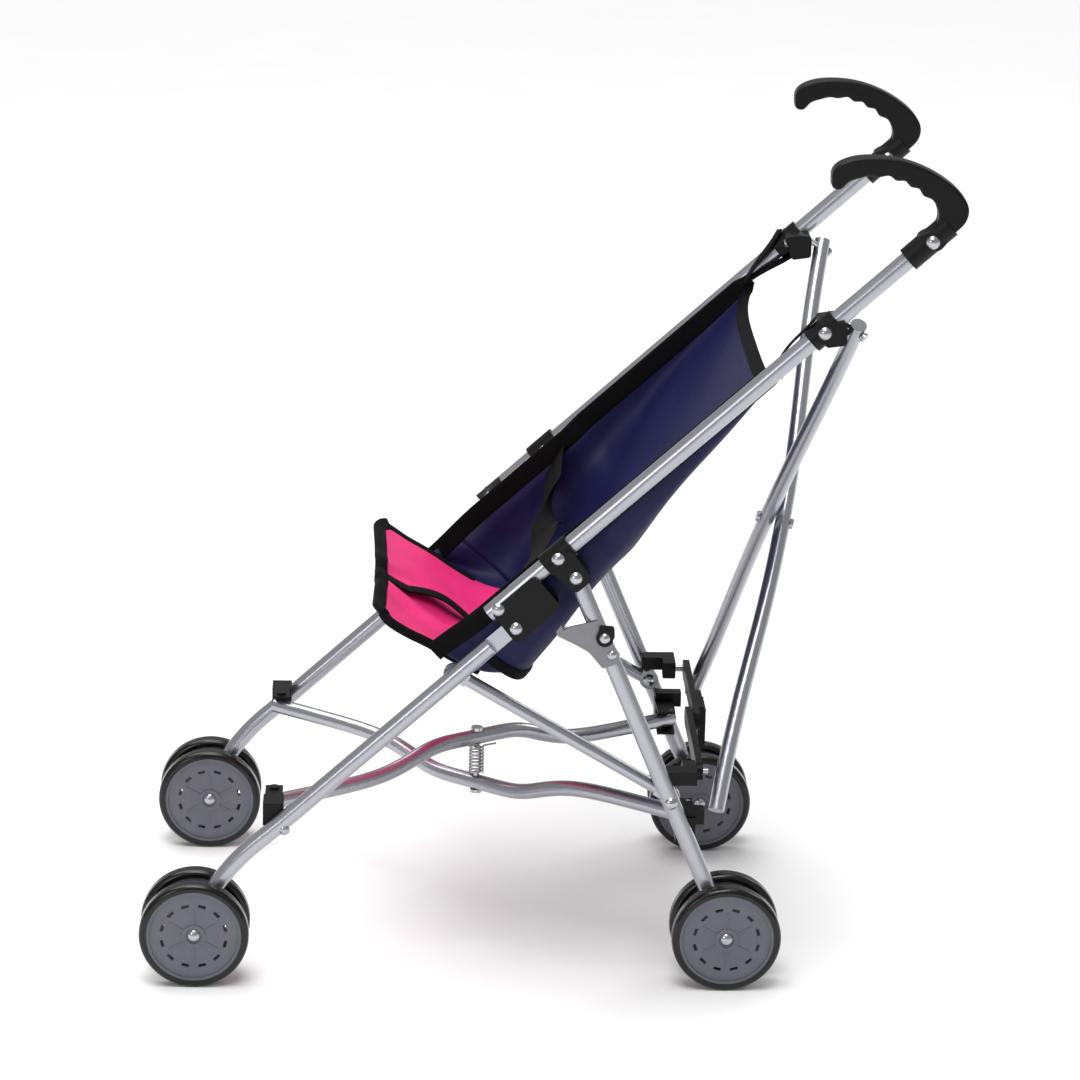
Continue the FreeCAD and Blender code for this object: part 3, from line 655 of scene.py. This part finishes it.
class STROLLER_OT_stage(bpy.types.Operator):
    """Set out the floor, the lights and the camera"""
    bl_idname = "stroller.stage"
    bl_label = "Stage"

    def execute(self, context):
        corners = np.array([[-1, -1, 0], [1, -1, 0], [1, 1, 0], [-1, 1, 0]], float) * 60.0
        floor = make_object("floor", corners, [[0, 1, 2, 3]], corners[:, :2], floor_paper())
        world = bpy.data.worlds.new("soft studio")
        context.scene.world = world
        world.use_nodes = True
        world.node_tree.nodes["Background"].inputs["Color"].default_value = (1, 1, 1, 1)
        world.node_tree.nodes["Background"].inputs["Strength"].default_value = 0.42
        context.scene.view_settings.view_transform = "Standard"
        sun = bpy.data.lights.new("overcast sun", "SUN")
        sun.energy = 1.95
        sun.angle = 0.9
        high = bpy.data.objects.new("overcast sun", sun)
        high.rotation_euler = (math.radians(-14), math.radians(-10), 0)
        context.scene.collection.objects.link(high)
        for name, where, aim, size, power in (
                ("top softbox", (-0.2, -0.9, 2.3), (0.0, 0.0, 0.25), 1.1, 26.0),
                ("front softbox", (-1.6, -2.2, 1.3), (0.0, 0.0, 0.3), 0.9, 9.0),
                ("rear strip", (1.8, 1.6, 1.6), (0.0, 0.0, 0.4), 0.8, 9.0)):
            data = bpy.data.lights.new(name, "AREA")
            data.shape = "SQUARE"
            data.size = size
            data.energy = power
            lamp = bpy.data.objects.new(name, data)
            way = np.array(aim) - np.array(where)
            back = -way / np.linalg.norm(way)
            right = np.cross([0, 0, 1.0], back)
            right = right / np.linalg.norm(right)
            up = np.cross(back, right)
            turn = np.eye(4)
            turn[:3, 0], turn[:3, 1], turn[:3, 2], turn[:3, 3] = right, up, back, where
            lamp.matrix_world = Matrix(turn.tolist())
            context.scene.collection.objects.link(lamp)
        azimuth, elevation, roll = math.radians(-2.355), math.radians(17.508), math.radians(1.334)
        level = math.cos(elevation)
        look = np.array([-math.sin(azimuth) * level, math.cos(azimuth) * level, -math.sin(elevation)])
        right = np.array([math.cos(azimuth), math.sin(azimuth), 0.0])
        up = np.cross(right, look)
        turn = np.eye(4)
        turn[:3, 0] = math.cos(roll) * right + math.sin(roll) * up
        turn[:3, 1] = -math.sin(roll) * right + math.cos(roll) * up
        turn[:3, 2] = -look
        turn[:3, 3] = (-0.1114, -2.7435, 1.1429)
        data = bpy.data.cameras.new("camera")
        data.sensor_width = 36.0
        data.lens = 137.27
        camera = bpy.data.objects.new("camera", data)
        camera.matrix_world = Matrix(turn.tolist())
        context.scene.collection.objects.link(camera)
        context.scene.camera = camera
        return {"FINISHED"}


class STROLLER_PT_panel(bpy.types.Panel):
    bl_idname = "STROLLER_PT_panel"
    bl_label = "Doll Stroller"
    bl_space_type = "VIEW_3D"
    bl_region_type = "UI"
    bl_category = "Stroller"

    def draw(self, context):
        for group in (context.scene.stroller_sizes, context.scene.stroller_colours):
            for prop in group.bl_rna.properties:
                if prop.identifier not in ("rna_type", "name"):
                    self.layout.prop(group, prop.identifier)
        for operator in STEPS:
            self.layout.operator(operator.bl_idname)


STEPS = (
    STROLLER_OT_frame_finishes, STROLLER_OT_seat_back, STROLLER_OT_seat_base, STROLLER_OT_bindings,
    STROLLER_OT_straps, STROLLER_OT_stage)
CLASSES = (StrollerSeatSizes, StrollerColours) + STEPS + (STROLLER_PT_panel,)


def register():
    for cls in CLASSES:
        bpy.utils.register_class(cls)
    bpy.types.Scene.stroller_sizes = bpy.props.PointerProperty(type=StrollerSeatSizes)
    bpy.types.Scene.stroller_colours = bpy.props.PointerProperty(type=StrollerColours)


def unregister():
    del bpy.types.Scene.stroller_colours
    del bpy.types.Scene.stroller_sizes
    for cls in reversed(CLASSES):
        bpy.utils.unregister_class(cls)


def main():
    register()
    bpy.ops.stroller.frame_finishes()
    bpy.ops.stroller.seat_back()
    bpy.ops.stroller.seat_base()
    bpy.ops.stroller.bindings()
    bpy.ops.stroller.straps()
    bpy.ops.stroller.stage()


if __name__ == "__main__":
    main()
